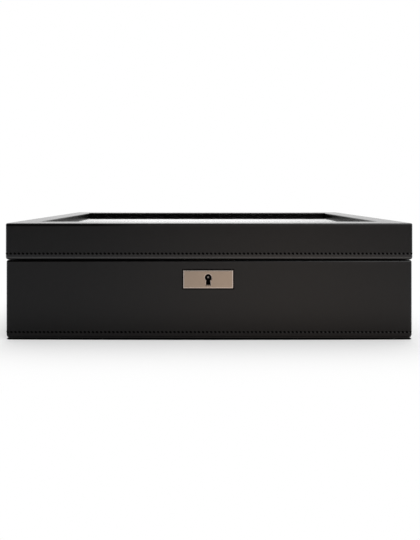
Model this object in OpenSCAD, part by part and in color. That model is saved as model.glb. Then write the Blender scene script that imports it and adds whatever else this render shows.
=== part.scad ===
// Lockable watch box: a leather-covered case for ten watches under a hinged, glass-topped lid.
// Millimetres. +Z is up, the front faces -Y, +X is to the right. The origin is the middle of the
// footprint, at the height of the surface that the box stands on.

/* [Outside] */
// Width of the lid
lid_w = 340; // [300:1:400]
// Depth of the lid
lid_d = 197; // [180:1:240]
// Height of the lid
lid_h = 30.4; // [26:0.1:40]
// Height of the case, from the ground to its top edge
case_h = 65.6; // [60:0.1:90]
// Gap of the seam between case and lid
seam_gap = 0.6; // [0.4:0.05:0.8]
// How far the lid stands proud of the case on each side
lid_overhang = 0.4; // [0:0.1:0.8]
// Radius of the upright corners
corner_r = 3.6; // [3.5:0.1:4.5]
// Radius of the case's bottom edge
case_bottom_r = 3.3; // [2:0.1:3.4]
// Radius of the case's top edge
case_top_r = 1.3; // [1.1:0.1:2]
// Radius of the lid's bottom edge
lid_bottom_r = 2; // [1.1:0.1:3]
// Radius of the lid's top edge
lid_top_r = 1.3; // [1.1:0.1:2]

/* [Stitch grooves] */
// Height of the lid's stitches above its bottom edge
lid_stitch_up = 5.5; // [4:0.1:8]
// Height of the case's stitches above the ground
case_stitch_up = 6.2; // [6:0.1:10]
// Radius of the groove that the stitches lie in
stitch_groove_r = 0.9; // [0.6:0.1:1]
// Depth of that groove
stitch_groove_depth = 0.2; // [0.15:0.05:0.4]

/* [Walls] */
// Thickness of the wall boards
board_t = 10; // [10:0.5:12]
// Thickness of the leather
leather_t = 1; // [0.8:0.1:1]
// Thickness of the suede-covered lining cards
lining_t = 1.5; // [1:0.1:2]
// Thickness of the bottom board
bottom_t = 5; // [4:0.5:6]
// Thickness of the felt under the box
felt_t = 0.5; // [0.4:0.1:1.2]
// Inset of the felt from the case's outside
felt_inset = 4.5; // [4:0.5:8]
// Width of the leather's turned-under margin
turn_under = 14; // [13:0.5:20]
// Thickness of the floor pad
floor_pad_t = 2.5; // [1.5:0.1:4]

/* [Lid frame and glass] */
// Width of the rim around the glass, from the lid's outside
rim_w = 21; // [20:0.5:34]
// Depth of the glass below the rim
glass_recess = 4; // [3.6:0.1:5]
// Thickness of the glass
glass_t = 3; // [2:0.5:4]
// How far the rim covers the glass on each side
glass_cover = 5.5; // [5:0.5:8]
// Clearance between the glass and its rebate
glass_gap = 0.5; // [0.3:0.1:1]
// Thickness of the frame that holds the glass up
retainer_t = 2; // [1.5:0.1:3]
// Width of the frame that holds the glass up
retainer_w = 4.5; // [4:0.5:5]
// Radius of the rim's edge at the glass
window_edge_r = 1; // [0.6:0.1:1.4]

/* [Compartments and cushions] */
// Number of compartments across
columns = 5; // [3:1:5]
// Thickness of the dividers
divider_t = 5; // [3:0.5:6]
// Height of the dividers' top above the ground
divider_top = 54; // [46:1:56]
// Clearance in the dividers' slots and at their ends
divider_gap = 0.2; // [0.1:0.05:0.4]
// Gap beside a cushion, to the divider or wall
cushion_side_gap = 1.6; // [1:0.1:4]
// Gap in front of and behind a cushion, for the watch strap
strap_gap = 5.6; // [4.8:0.1:8]
// Height of a cushion
cushion_h = 44; // [36:1:46]
// Clearance under a cushion
cushion_seat = 0.3; // [0.1:0.1:0.5]
// Clearance left above a raised cushion
cushion_headroom = 1.2; // [0.8:0.1:3]

/* [Hinges] */
// Angle at which the bevelled back edges meet and stop the lid
stop_angle = 97; // [92:1:105]
// Depth of the hinge axis inside the case's back face
axis_inset = 3.6; // [3.5:0.1:4.2]
// Length of a hinge
hinge_l = 36; // [30:1:50]
// Distance of each hinge's middle from the lid's end
hinge_inset = 60; // [40:0.5:80]
// Thickness of a hinge leaf
leaf_t = 1.2; // [1:0.1:1.5]
// Distance of a hinge leaf's edge from the walls' inner faces
leaf_inset = 0.3; // [0.2:0.1:0.4]
// Outer radius of the knuckles
knuckle_r = 2.2; // [2:0.1:2.4]
// Radius of the hinge pin
hinge_pin_r = 0.8; // [0.7:0.1:1]
// Radial running clearance of the hinge pin
pin_gap = 0.05; // [0.03:0.01:0.08]
// Gap between neighbouring knuckles
knuckle_gap = 0.2; // [0.1:0.05:0.4]

/* [Lock] */
// Place of the lock along the front, from the middle
lock_x = -0.8; // [-20:0.1:20]
// Width of the escutcheon
escutcheon_w = 41.4; // [38:0.1:50]
// Height of the escutcheon
escutcheon_h = 15; // [14:0.1:20]
// Thickness of the escutcheon
escutcheon_t = 1.2; // [1:0.1:1.6]
// Bevel of the escutcheon's edges
escutcheon_bevel = 0.8; // [0.3:0.1:0.9]
// Distance of the escutcheon's middle below the case's top edge
escutcheon_drop = 15.5; // [15.5:0.1:18]
// Radius of the keyhole's round part
keyhole_r = 2.8; // [2.4:0.1:3.2]
// Height of the keyhole's round part above the escutcheon's middle
keyhole_up = 1.5; // [1:0.1:2]
// Length of the keyhole's slot below the middle of its round part
keyhole_drop = 6.1; // [5:0.1:6.5]
// Width of the keyhole's slot at its waist
keyhole_waist = 3.1; // [2.6:0.1:3.6]
// Width of the keyhole's slot at its foot
keyhole_foot = 4; // [3.6:0.1:5]
// Radius of the pin that a hollow key fits over
key_pin_r = 0.8; // [0.6:0.1:1]
// Width of the lock's body
lock_w = 32; // [31:0.5:36]
// Height of the lock's body below its top plate
lock_h = 24.4; // [23:0.1:26]
// Thickness of the lock's body
lock_t = 5.8; // [5.6:0.1:6.2]
// Thickness of the lock's sheet metal
sheet_t = 0.8; // [0.6:0.1:1]
// Thickness of the wood in front of the lock
lock_web = 1.7; // [1.5:0.1:2]
// Clearance around the lock's body
lock_gap = 0.3; // [0.2:0.1:0.5]
// Width of the plates at the seam
plate_w = 44; // [43:0.5:50]
// Depth of the plates at the seam
plate_d = 8; // [7.6:0.1:8.4]
// Thickness of the plates at the seam
plate_t = 1.2; // [1:0.1:1.5]
// Travel of the bolt
bolt_throw = 3.5; // [2.5:0.1:3.6]
// Distance of each strike hook from the middle of the lock
hook_x = 8; // [7.5:0.1:8.4]
// Thickness of a strike hook
hook_t = 1.2; // [1:0.1:1.4]
// Length of a strike hook below the seam
hook_l = 7.2; // [6.8:0.1:7.6]

/* [Screws] */
// Radius of the screws' shanks
screw_r = 0.9; // [0.7:0.1:1]
// Radius of the screws' countersunk heads
screw_head_r = 1.6; // [1.4:0.1:1.7]
// Length of the screws
screw_l = 9; // [7:0.5:10]
// Distance of each plate screw from the middle of the lock
plate_screw_x = 19; // [18.5:0.1:19.5]
// Distance of each hinge screw from the middle of its hinge
hinge_screw_x = 12; // [8:0.5:13]

/* [Hidden] */
$fn = 48;
ROWS = 2;
FRONT = 0;
RIGHT = 1;
BACK = 2;
LEFT = 3;
e = 0.01;                                   // overshoot of cutting solids
reach = 5;                                  // overshoot of the mitre prisms
mitre_depth = 40;                           // how far in the mitre prisms go

// Heights
lid_z = case_h + seam_gap;                  // underside of the lid
top_z = lid_z + lid_h;                      // top of the lid
case_z = felt_t;                            // underside of the case's leather
core_z = case_z + leather_t;                // underside of the boards
core_top = case_h - leather_t;              // top of the wall boards
bottom_top = core_z + bottom_t;
floor_z = bottom_top + floor_pad_t;         // floor of the compartments
tall = top_z + reach;                       // height of the mitre prisms
glass_top = top_z - glass_recess;
glass_z = glass_top - glass_t;
retainer_z = glass_z - retainer_t;
ceiling_z = retainer_z - lining_t;          // underside of the rim's lining
lip_z = glass_top + leather_t;              // underside of the rail's lip above the glass

// Plan sizes
case_w = lid_w - 2*lid_overhang;
case_d = lid_d - 2*lid_overhang;
wall_t = leather_t + board_t + lining_t;
board_in = leather_t + board_t;             // inset of the boards' inner faces
room_w = case_w - 2*wall_t;
room_d = case_d - 2*wall_t;
window_w = lid_w - 2*rim_w;
window_d = lid_d - 2*rim_w;
glass_in = rim_w - glass_cover;             // inset of the glass's edge from the lid's outside
cell_w = (room_w - (columns - 1)*divider_t)/columns;
cell_d = (room_d - (ROWS - 1)*divider_t)/ROWS;
cushion_w = cell_w - 2*cushion_side_gap;
cushion_d = cell_d - 2*strap_gap;
cushion_z = floor_z + cushion_seat;
cushion_lift = ceiling_z - cushion_headroom - cushion_z - cushion_h;

// Hinge
axis_y = case_d/2 - axis_inset;
axis_z = case_h + seam_gap/2;
hinge_x = lid_w/2 - hinge_inset;
groove_half = stop_angle/2;
pocket_gap = 0.35;                          // room around the knuckles
pocket_r = knuckle_r + pocket_gap;
leaf_w = board_in - lid_overhang - axis_inset - leaf_inset;     // from the axis to a leaf's edge
knuckle_l = (hinge_l - 2*knuckle_gap)/3;

// Lock
escutcheon_z = case_h - escutcheon_drop;
keyhole_z = escutcheon_z + keyhole_up;
front_y = -lid_d/2;                         // front of the escutcheon, flush with the lid
lock_front = -case_d/2 + leather_t + lock_web;
lock_back = lock_front + lock_t;
lock_mid = (lock_front + lock_back)/2;
lock_in_front = lock_front + sheet_t;
lock_in_back = lock_back - sheet_t;
lock_top = case_h - plate_t;
lock_z = lock_top - lock_h;
bolt_gap = 0.2;
bolt_t = lock_in_back - lock_in_front - 2*bolt_gap;
hook_narrower = 0.2;                        // a hook is narrower than the bolt by this
hook_w = bolt_t - hook_narrower;
hook_z = case_h - hook_l;
loop_wall = 0.9;                            // metal below a hook's loop
loop_side = 0.6;                            // metal beside a hook's loop
loop_h = 2.9;
loop_w = hook_w - 2*loop_side;
slot_gap = 0.4;                             // clearance of a hook in the top plate's slot
finger_play_z = 0.4;                        // clearance above and below a finger in its loop
finger_play_y = 0.3;                        // clearance beside a finger in its loop
finger_h = loop_h - 2*finger_play_z;
finger_w = loop_w - 2*finger_play_y;
finger_z = hook_z + loop_wall + finger_play_z;
finger_gap = 0.4;                           // from a finger's tip to its hook, when unlocked
post_gap = 0.3;                             // a post stays further from its hook by this
finger_l = bolt_throw + post_gap;
post_w = 2;
bar_h = 4;
hook_gap = 0.8;                             // between a hook's tip and the bar
bar_top = hook_z - hook_gap;
bar_z = bar_top - bar_h;
bar_short = 0.5;                            // the bar ends this far before the right hook's middle
bar_end = hook_x - bar_short;
stud_r = 0.7;
stud_gap = 0.15;
stud_up = 2.6;                              // studs above the bar's lower edge
stud_z = bar_z + stud_up;
key_notch_r = 2.2;
detent_notch_r = 0.8;
stud_x = [-9.5, 5.5];
detent_x = 3;
detent_r = 1.1;
detent_gap = 0.3;
spring_t = 0.5;
rivet_r = 0.7;
rivet_l = 3;
rivet_x = 18.2;
recess_gap = 0.4;                           // dark line around the escutcheon
keyhole_bevel = 0.6;
web_keyhole_gap = 0.4;                      // the wood's keyhole is wider by this on each side
case_keyhole_gap = 0.2;                     // and the lock case's by this
key_pin_back = 0.2;                         // from the pin's tip to the escutcheon's back

// Screws
screw_slot_w = 0.5;
screw_slot_depth = 0.4;

// Colours
leather = [0.13, 0.12, 0.12];
suede = [0.30, 0.30, 0.31];
cushion_suede = [0.45, 0.45, 0.46];
felt = [0.10, 0.10, 0.10];
board = [0.72, 0.58, 0.42];
steel = [0.66, 0.66, 0.68];
nickel = [0.60, 0.53, 0.47];
brass = [0.78, 0.62, 0.32];
glass_tint = [0.82, 0.90, 0.92, 0.35];

// Cushion rounding
cushion_roll_r = 17;
cushion_side_r = 8;

// ---- Shared shapes ----

// Upright rectangle on y = 0 with its two low corners rounded to r and its two high ones to R
module rounded_upright(w, h, r, R) {
    translate([-w/2, r]) square([w, h - r - R]);
    translate([-w/2 + r, 0]) square([w - 2*r, h/2]);
    translate([-w/2 + R, h/2]) square([w - 2*R, h/2]);
    for (s = [-1, 1]) {
        translate([s*(w/2 - r), r]) circle(r);
        translate([s*(w/2 - R), h - R]) circle(R);
    }
}

// Extrudes an outline of (y, z) along X, centred
module along_x(length) rotate([90, 0, 90]) linear_extrude(length, center = true) children();

// Extrudes an outline of (x, z) along Y, centred
module along_y(length) rotate([90, 0, 0]) linear_extrude(length, center = true) children();

// Block with upright corners of radius plan_r, low edges of radius r and high edges of radius R
module soft_block(w, d, h, plan_r, r, R) {
    along_x(w - 2*plan_r) rounded_upright(d, h, r, R);
    along_y(d - 2*plan_r) rounded_upright(w, h, r, R);
    for (x = [-1, 1], y = [-1, 1])
        translate([x*(w/2 - plan_r), y*(d/2 - plan_r), 0])
            rotate_extrude() intersection() {
                rounded_upright(2*plan_r, h, r, R);
                square([plan_r, h]);
            }
}

// Box centred on X and Y, from z0 to z1
module plan_box(w, d, z0, z1) translate([-w/2, -d/2, z0]) cube([w, d, z1 - z0]);

// Box from one corner to another
module span(low, high) translate(low) cube(high - low);

// One of four mitred mouldings round a w by d rectangle. The profile's x runs inwards from the
// rectangle's edge and its y is the height.
module moulding(w, d, side) {
    along = side % 2 == 0 ? w : d;
    across = side % 2 == 0 ? d : w;
    outer = [along/2 + reach, -across/2 - reach];
    inner = [along/2 - mitre_depth, -across/2 + mitre_depth];
    rotate([0, 0, 90*side]) intersection() {
        translate([0, -across/2, 0]) along_x(along) children();
        linear_extrude(tall) polygon([[-outer.x, outer.y], outer, inner, [-inner.x, inner.y]]);
    }
}

// All four mouldings
module picture_frame(w, d) for (side = [FRONT:LEFT]) moulding(w, d, side) children();

// Profile rectangle from inset u0 to u1 and from height z0 to z1
module strip(u0, u1, z0, z1) translate([u0, z0]) square([u1 - u0, z1 - z0]);

// Countersunk wood screw whose head lies at z = 0 and whose shank points down
module screw_shape(l) {
    sink = screw_head_r - screw_r;
    translate([0, 0, -sink]) cylinder(sink, screw_r, screw_head_r);
    translate([0, 0, -l]) cylinder(l, r = screw_r);
}

module screw(l) {
    difference() {
        screw_shape(l);
        translate([-screw_head_r, -screw_slot_w/2, -screw_slot_depth])
            cube([2*screw_head_r, screw_slot_w, screw_slot_depth + e]);
    }
}

// ---- Carcass blocks ----

// The case's block, inset by t from its outside
module case_block(t)
    translate([0, 0, case_z + t])
        soft_block(case_w - 2*t, case_d - 2*t, case_h - case_z - 2*t,
                   corner_r - t, case_bottom_r - t, case_top_r - t);

// The lid's block, inset by t from its outside
module lid_block(t)
    translate([0, 0, lid_z + t])
        soft_block(lid_w - 2*t, lid_d - 2*t, lid_h - 2*t,
                   corner_r - t, lid_bottom_r - t, lid_top_r - t);

// V-shaped groove along the back, opening from the hinge axis, its faces set back by t
module back_groove(t) {
    apex = axis_y - t/sin(groove_half);
    far = lid_d/2 + reach;
    rise = (far - apex)*tan(groove_half);
    along_x(lid_w + reach) polygon([[apex, axis_z], [far, axis_z - rise], [far, axis_z + rise]]);
}

// Round groove at height z round a w by d block, for the stitches to lie in
module stitch_groove(w, d, z) {
    out = stitch_groove_r - stitch_groove_depth;
    for (s = [-1, 1]) {
        translate([0, s*(d/2 + out), z]) on_axis(stitch_groove_r, w - 2*corner_r);
        translate([s*(w/2 + out), 0, z]) rotate([0, 0, 90]) on_axis(stitch_groove_r, d - 2*corner_r);
    }
    for (right = [0, 1], back = [0, 1])
        mirror([1 - right, 0, 0]) mirror([0, 1 - back, 0])
            translate([w/2 - corner_r, d/2 - corner_r, z])
                rotate_extrude(angle = 90) translate([corner_r + out, 0]) circle(stitch_groove_r);
}

// ---- Hinges ----

module at_hinges() for (s = [-1, 1]) translate([s*hinge_x, axis_y, axis_z]) children();

module on_axis(r, l) rotate([0, 90, 0]) cylinder(l, r = r, center = true);

// Room for the knuckles, cut in both case and lid
module hinge_pockets() at_hinges() on_axis(pocket_r, hinge_l + 2*knuckle_gap);

// Places of a leaf's screws
module at_hinge_screws()
    at_hinges() for (x = [-1, 1]) translate([x*hinge_screw_x, -leaf_w/2 - pocket_r/2, 0]) children();

// Mortises for the leaves of one side: up = 1 for the lid, -1 for the case
module leaf_mortises(up)
    at_hinges() {
        low = up > 0 ? -e : -seam_gap/2 - leaf_t;
        span([-hinge_l/2 - knuckle_gap, -leaf_w, low],
             [hinge_l/2 + knuckle_gap, 0, up*(seam_gap/2 + (up > 0 ? leaf_t : -e))]);
    }

module leaf_screw_holes(up)
    at_hinge_screws() translate([0, 0, up*seam_gap/2]) mirror([0, 0, up > 0 ? 1 : 0])
        screw_shape(screw_l);

// Hinge leaf with its own knuckles at the places in mine, clearing those in other
module leaf(up, mine, other) {
    pitch = knuckle_l + knuckle_gap;
    difference() {
        union() {
            span([-hinge_l/2, -leaf_w, up > 0 ? seam_gap/2 : -seam_gap/2 - leaf_t],
                 [hinge_l/2, 0, up > 0 ? seam_gap/2 + leaf_t : -seam_gap/2]);
            for (k = mine) translate([k*pitch, 0, 0]) on_axis(knuckle_r, knuckle_l);
        }
        for (k = other) translate([k*pitch, 0, 0]) on_axis(pocket_r, knuckle_l + 2*knuckle_gap);
        on_axis(hinge_pin_r + pin_gap, hinge_l + 2*e);
        for (x = [-1, 1])
            translate([x*hinge_screw_x, -leaf_w/2 - pocket_r/2, up*seam_gap/2])
                mirror([0, 0, up > 0 ? 1 : 0]) screw_shape(screw_l);
    }
}

module case_leaf(s)
    color(steel) translate([s*hinge_x, axis_y, axis_z]) leaf(-1, [-1, 1], [0]);

module lid_leaf(s)
    color(steel) translate([s*hinge_x, axis_y, axis_z]) leaf(1, [0], [-1, 1]);

module hinge_pin(s)
    color(steel) translate([s*hinge_x, axis_y, axis_z]) on_axis(hinge_pin_r, hinge_l);

module case_hinge_screws()
    color(steel) at_hinge_screws() translate([0, 0, -seam_gap/2]) screw(screw_l);

module lid_hinge_screws()
    color(steel) at_hinge_screws() translate([0, 0, seam_gap/2]) mirror([0, 0, 1]) screw(screw_l);

// ---- Lock ----

// Places the lock's own frame: x from the middle of the lock, y and z as in the box
module at_lock() translate([lock_x, 0, 0]) children();

// Keyhole outline of (x, z), widened by grow
module keyhole(grow = 0) {
    translate([0, keyhole_z]) circle(keyhole_r + grow);
    keyhole_slot(grow);
}

module keyhole_slot(grow)
    polygon([[-keyhole_waist/2 - grow, keyhole_z], [keyhole_waist/2 + grow, keyhole_z],
             [keyhole_foot/2 + grow, keyhole_z - keyhole_drop - grow],
             [-keyhole_foot/2 - grow, keyhole_z - keyhole_drop - grow]]);

// Keyhole cut from y0 to y1
module keyhole_cut(y0, y1, grow = 0)
    translate([0, (y0 + y1)/2, 0]) along_y(y1 - y0) keyhole(grow);

module at_hooks() for (s = [-1, 1]) translate([s*hook_x, lock_mid, 0]) children();

module at_plate_screws() for (s = [-1, 1]) translate([s*plate_screw_x, lock_mid, 0]) children();

module top_plate_block(z0, z1)
    translate([0, lock_mid, 0]) plan_box(plate_w, plate_d, z0, z1);

// Everything that the lock needs cut out of the case's front
module lock_cuts()
    at_lock() {
        span([-lock_w/2 - lock_gap, lock_front - lock_gap, lock_z - lock_gap],
             [lock_w/2 + lock_gap, lock_back + lock_gap, lock_top + e]);
        top_plate_block(lock_top, case_h + e);
        at_plate_screws() translate([0, 0, case_h]) screw_shape(screw_l);
        keyhole_cut(front_y - e, lock_mid, web_keyhole_gap);
        span([-escutcheon_w/2 - recess_gap, front_y - e, escutcheon_z - escutcheon_h/2 - recess_gap],
             [escutcheon_w/2 + recess_gap, front_y + escutcheon_t, escutcheon_z + escutcheon_h/2 + recess_gap]);
        rivets();
    }

module rivets()
    for (s = [-1, 1])
        translate([s*rivet_x, front_y + escutcheon_t - e, escutcheon_z])
            rotate([-90, 0, 0]) cylinder(rivet_l + e, r = rivet_r);

module escutcheon()
    color(nickel) at_lock() {
        difference() {
            intersection() {
                translate([0, 0, escutcheon_z - tall/2]) linear_extrude(tall)
                    bevelled(escutcheon_w);
                along_x(escutcheon_w + reach) translate([0, escutcheon_z]) rotate(90) mirror([0, 1])
                    bevelled(escutcheon_h);
            }
            keyhole_cut(front_y - e, front_y + escutcheon_t + e);
            translate([0, front_y - e, keyhole_z]) rotate([-90, 0, 0])
                cylinder(keyhole_bevel, keyhole_r + keyhole_bevel, keyhole_r);
            hull() {
                translate([0, front_y - e, 0]) along_y(e) keyhole_slot(keyhole_bevel);
                translate([0, front_y + keyhole_bevel, 0]) along_y(e) keyhole_slot(0);
            }
        }
        rivets();
    }

// Plate outline of (x, y), bevelled at its front
module bevelled(w)
    polygon([[-w/2, front_y + escutcheon_t], [-w/2, front_y + escutcheon_bevel],
             [-w/2 + escutcheon_bevel, front_y], [w/2 - escutcheon_bevel, front_y],
             [w/2, front_y + escutcheon_bevel], [w/2, front_y + escutcheon_t]]);

module lock_case()
    color(steel) at_lock() {
        difference() {
            span([-lock_w/2, lock_front, lock_z], [lock_w/2, lock_in_back, lock_top]);
            span([-lock_w/2 + sheet_t, lock_in_front, lock_z + sheet_t],
                 [lock_w/2 - sheet_t, lock_in_back + e, lock_top + e]);
            keyhole_cut(lock_front - e, lock_in_front + e, case_keyhole_gap);
        }
        for (x = stud_x)
            translate([x, lock_in_front - e, stud_z]) rotate([-90, 0, 0])
                cylinder(lock_in_back - lock_in_front + e, r = stud_r);
    }

module lock_cover()
    color(steel) at_lock()
        span([-lock_w/2, lock_in_back, lock_z], [lock_w/2, lock_back, lock_top]);

module key_pin()
    color(steel) at_lock() translate([0, lock_in_back, keyhole_z]) rotate([90, 0, 0])
        cylinder(lock_in_back - front_y - escutcheon_t - key_pin_back, r = key_pin_r);

// Place of the left end of the post that carries the finger of the hook at x
function post_x(x) = x - hook_t/2 - finger_gap - finger_l - post_w;

// Bolt outline of (x, z): a bar with two posts, guide slots, the key's notch and detent notches
module bolt_outline()
    difference() {
        union() {
            translate([post_x(-hook_x), bar_z]) square([bar_end - post_x(-hook_x), bar_h]);
            for (x = [-hook_x, hook_x])
                translate([post_x(x), bar_z]) square([post_w, finger_z + finger_h - bar_z]);
        }
        for (x = stud_x) {
            translate([x, stud_z]) circle(stud_r + stud_gap);
            translate([x - bolt_throw, stud_z]) circle(stud_r + stud_gap);
            translate([x - bolt_throw, stud_z - stud_r - stud_gap])
                square([bolt_throw, 2*(stud_r + stud_gap)]);
        }
        translate([-bolt_throw/2, bar_z]) circle(key_notch_r);
        for (x = [detent_x, detent_x - bolt_throw]) translate([x, bar_z]) circle(detent_notch_r);
    }

module lock_bolt()
    color(brass) at_lock() {
        translate([0, lock_mid, 0]) along_y(bolt_t) bolt_outline();
        for (x = [-hook_x, hook_x])
            translate([post_x(x) + e, lock_mid - finger_w/2, finger_z])
                cube([post_w + finger_l - e, finger_w, finger_h]);
    }

// Leaf spring with a rounded bump under the bolt, held at the lock's right wall
module detent_spring() {
    mid_z = bar_z - detent_gap - detent_r;
    color(steel) at_lock() translate([0, lock_mid, 0]) along_y(bolt_t/2) {
        translate([detent_x + detent_r - spring_t, mid_z - spring_t])
            square([lock_w/2 - sheet_t - detent_x - detent_r + spring_t, spring_t]);
        difference() {
            translate([detent_x, mid_z]) circle(detent_r);
            translate([detent_x, mid_z]) circle(detent_r - spring_t);
            translate([detent_x - 2*detent_r, mid_z - 2*detent_r]) square([4*detent_r, 2*detent_r]);
        }
    }
}

module lock_top_plate()
    color(nickel) at_lock() difference() {
        top_plate_block(lock_top, case_h);
        at_hooks() plan_box(hook_t + 2*slot_gap, hook_w + 2*slot_gap, lock_top - e, case_h + e);
        at_plate_screws() translate([0, 0, case_h]) screw_shape(screw_l);
    }

module lock_plate_screws()
    color(steel) at_lock() at_plate_screws() translate([0, 0, case_h]) screw(screw_l);

module strike_plate()
    color(nickel) at_lock() {
        difference() {
            top_plate_block(lid_z, lid_z + plate_t);
            strike_screw_holes();
        }
        at_hooks() difference() {
            plan_box(hook_t, hook_w, hook_z, lid_z + e);
            plan_box(hook_t + 2*e, loop_w, hook_z + loop_wall, hook_z + loop_wall + loop_h);
        }
    }

module strike_screw_holes()
    at_plate_screws() translate([0, 0, lid_z]) mirror([0, 0, 1]) screw_shape(screw_l);

module strike_screws()
    color(steel) at_lock() at_plate_screws() translate([0, 0, lid_z]) mirror([0, 0, 1]) screw(screw_l);

// Everything that the strike needs cut out of the lid's front
module strike_cuts()
    at_lock() {
        top_plate_block(lid_z - e, lid_z + plate_t);
        strike_screw_holes();
    }

// ---- Case ----

module case_hardware_cuts() {
    hinge_pockets();
    leaf_mortises(-1);
    leaf_screw_holes(-1);
    lock_cuts();
}

module case_leather()
    color(leather) difference() {
        case_block(0);
        difference() {
            case_block(leather_t);
            back_groove(leather_t);
        }
        back_groove(0);
        plan_box(room_w, room_d, core_top - e, tall);
        plan_box(case_w - 2*turn_under, case_d - 2*turn_under, case_z - reach, core_z + e);
        stitch_groove(case_w, case_d, case_stitch_up);
        case_hardware_cuts();
    }

module case_board(side)
    color(board) difference() {
        intersection() {
            case_block(leather_t);
            moulding(case_w, case_d, side) strip(0, board_in, core_z, core_top);
        }
        back_groove(leather_t);
        case_hardware_cuts();
    }

module bottom_board()
    color(board) plan_box(case_w - 2*board_in, case_d - 2*board_in, core_z, bottom_top);

// Felt glued over the underside, thicker inside the leather's turned-under margin
module base_felt()
    color(felt) {
        plan_box(case_w - 2*felt_inset, case_d - 2*felt_inset, 0, felt_t);
        plan_box(case_w - 2*turn_under, case_d - 2*turn_under, felt_t - e, core_z);
    }

module floor_pad() color(suede) plan_box(room_w, room_d, bottom_top, floor_z);

module case_lining(side)
    color(suede) moulding(case_w, case_d, side) strip(board_in, wall_t, bottom_top, core_top);

// ---- Dividers and cushions ----

// Divider's section of (width, height), rounded along its top
module divider_section() {
    r = divider_t/2;
    translate([-r, floor_z]) square([divider_t, divider_top - floor_z - r]);
    translate([0, divider_top - r]) circle(r);
}

half_lap_z = (floor_z + divider_top)/2;
slot_w = divider_t + 2*divider_gap;

function cross_x(i) = -room_w/2 + i*cell_w + (i - 0.5)*divider_t;
function cell_x(i) = -room_w/2 + (i - 0.5)*cell_w + (i - 1)*divider_t;
function cell_y(row) = (row - 0.5)*(cell_d + divider_t);

module long_divider()
    color(suede) difference() {
        along_x(room_w - 2*divider_gap) divider_section();
        for (i = [1:columns - 1])
            translate([cross_x(i), 0, 0])
                plan_box(slot_w, divider_t + reach, half_lap_z - divider_gap/2, tall);
    }

module cross_divider(i)
    if (i < columns) color(suede) difference() {
        translate([cross_x(i), 0, 0]) along_y(room_d - 2*divider_gap) divider_section();
        translate([cross_x(i), 0, 0])
            plan_box(divider_t + reach, slot_w, floor_z - reach, half_lap_z + divider_gap/2);
    }

// Pillow that a watch strap closes around, one for each compartment
module cushion(row, i)
    if (i <= columns) color(cushion_suede) translate([cell_x(i), cell_y(row), cushion_z]) intersection() {
        along_x(cushion_w) rounded_upright(cushion_d, cushion_h, cushion_roll_r, cushion_roll_r);
        along_y(cushion_d) rounded_upright(cushion_w, cushion_h, cushion_side_r, cushion_side_r);
        linear_extrude(cushion_h) translate([0, -cushion_d/2])
            rounded_upright(cushion_w, cushion_d, cushion_side_r, cushion_side_r);
    }

// ---- Lid ----

module lid_hardware_cuts() {
    hinge_pockets();
    leaf_mortises(1);
    leaf_screw_holes(1);
    strike_cuts();
}

// Profile of a lid rail: a wall, a wide rim and a rebate for the glass under the rim's lip
module rail_profile() {
    strip(0, board_in, lid_z + leather_t, top_z - leather_t);
    strip(0, glass_in - glass_gap, retainer_z, top_z - leather_t);
    strip(0, rim_w - leather_t, lip_z, top_z - leather_t);
}

module lid_rail(side)
    color(board) difference() {
        intersection() {
            lid_block(leather_t);
            moulding(lid_w, lid_d, side) rail_profile();
        }
        back_groove(leather_t);
        lid_hardware_cuts();
    }

// Leather round the rim's inner edge: down the edge of the window and back under the lip
module lip_profile()
    difference() {
        union() {
            strip(rim_w - leather_t - window_edge_r, rim_w, top_z - leather_t, top_z);
            strip(rim_w - leather_t, rim_w, glass_top, top_z);
            strip(glass_in, rim_w, glass_top, lip_z);
        }
        difference() {
            strip(rim_w - window_edge_r, rim_w + reach, top_z - window_edge_r, tall);
            translate([rim_w - window_edge_r, top_z - window_edge_r]) circle(window_edge_r);
        }
    }

module lid_leather()
    color(leather) {
        difference() {
            lid_block(0);
            difference() {
                lid_block(leather_t);
                back_groove(leather_t);
            }
            back_groove(0);
            plan_box(lid_w - 2*wall_t, lid_d - 2*wall_t, lid_z - reach, lid_z + leather_t + e);
            plan_box(window_w + 2*leather_t + window_edge_r, window_d + 2*leather_t + window_edge_r,
                     top_z - leather_t - e, tall);
            stitch_groove(lid_w, lid_d, lid_z + lid_stitch_up);
            lid_hardware_cuts();
        }
        picture_frame(lid_w, lid_d) lip_profile();
    }

module glass()
    color(glass_tint)
        plan_box(lid_w - 2*glass_in, lid_d - 2*glass_in, glass_z, glass_top);

module glass_retainer()
    color(board) picture_frame(lid_w, lid_d)
        strip(glass_in, glass_in + retainer_w, retainer_z, glass_z);

module lid_lining(side)
    color(suede) moulding(lid_w, lid_d, side) strip(board_in, wall_t, lid_z + leather_t, ceiling_z);

module rim_lining()
    color(suede) picture_frame(lid_w, lid_d)
        strip(board_in, rim_w - leather_t, ceiling_z, retainer_z);

// ---- The pieces ----

base_felt();
bottom_board();
case_board(FRONT);  // case_front_board
case_board(RIGHT);  // case_right_board
case_board(BACK);  // case_back_board
case_board(LEFT);  // case_left_board
case_leather();
floor_pad();
case_lining(FRONT);  // case_lining_front
case_lining(RIGHT);  // case_lining_right
case_lining(BACK);  // case_lining_back
case_lining(LEFT);  // case_lining_left
long_divider();
cross_divider(1);  // cross_divider_1
cross_divider(2);  // cross_divider_2
cross_divider(3);  // cross_divider_3
cross_divider(4);  // cross_divider_4
cushion(0, 1);  // cushion_front_1
cushion(0, 2);  // cushion_front_2
cushion(0, 3);  // cushion_front_3
cushion(0, 4);  // cushion_front_4
cushion(0, 5);  // cushion_front_5
cushion(1, 1);  // cushion_rear_1
cushion(1, 2);  // cushion_rear_2
cushion(1, 3);  // cushion_rear_3
cushion(1, 4);  // cushion_rear_4
cushion(1, 5);  // cushion_rear_5
lid_rail(FRONT);  // lid_front_rail
lid_rail(RIGHT);  // lid_right_rail
lid_rail(BACK);  // lid_back_rail
lid_rail(LEFT);  // lid_left_rail
lid_leather();
glass();
glass_retainer();
lid_lining(FRONT);  // lid_lining_front
lid_lining(RIGHT);  // lid_lining_right
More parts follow.
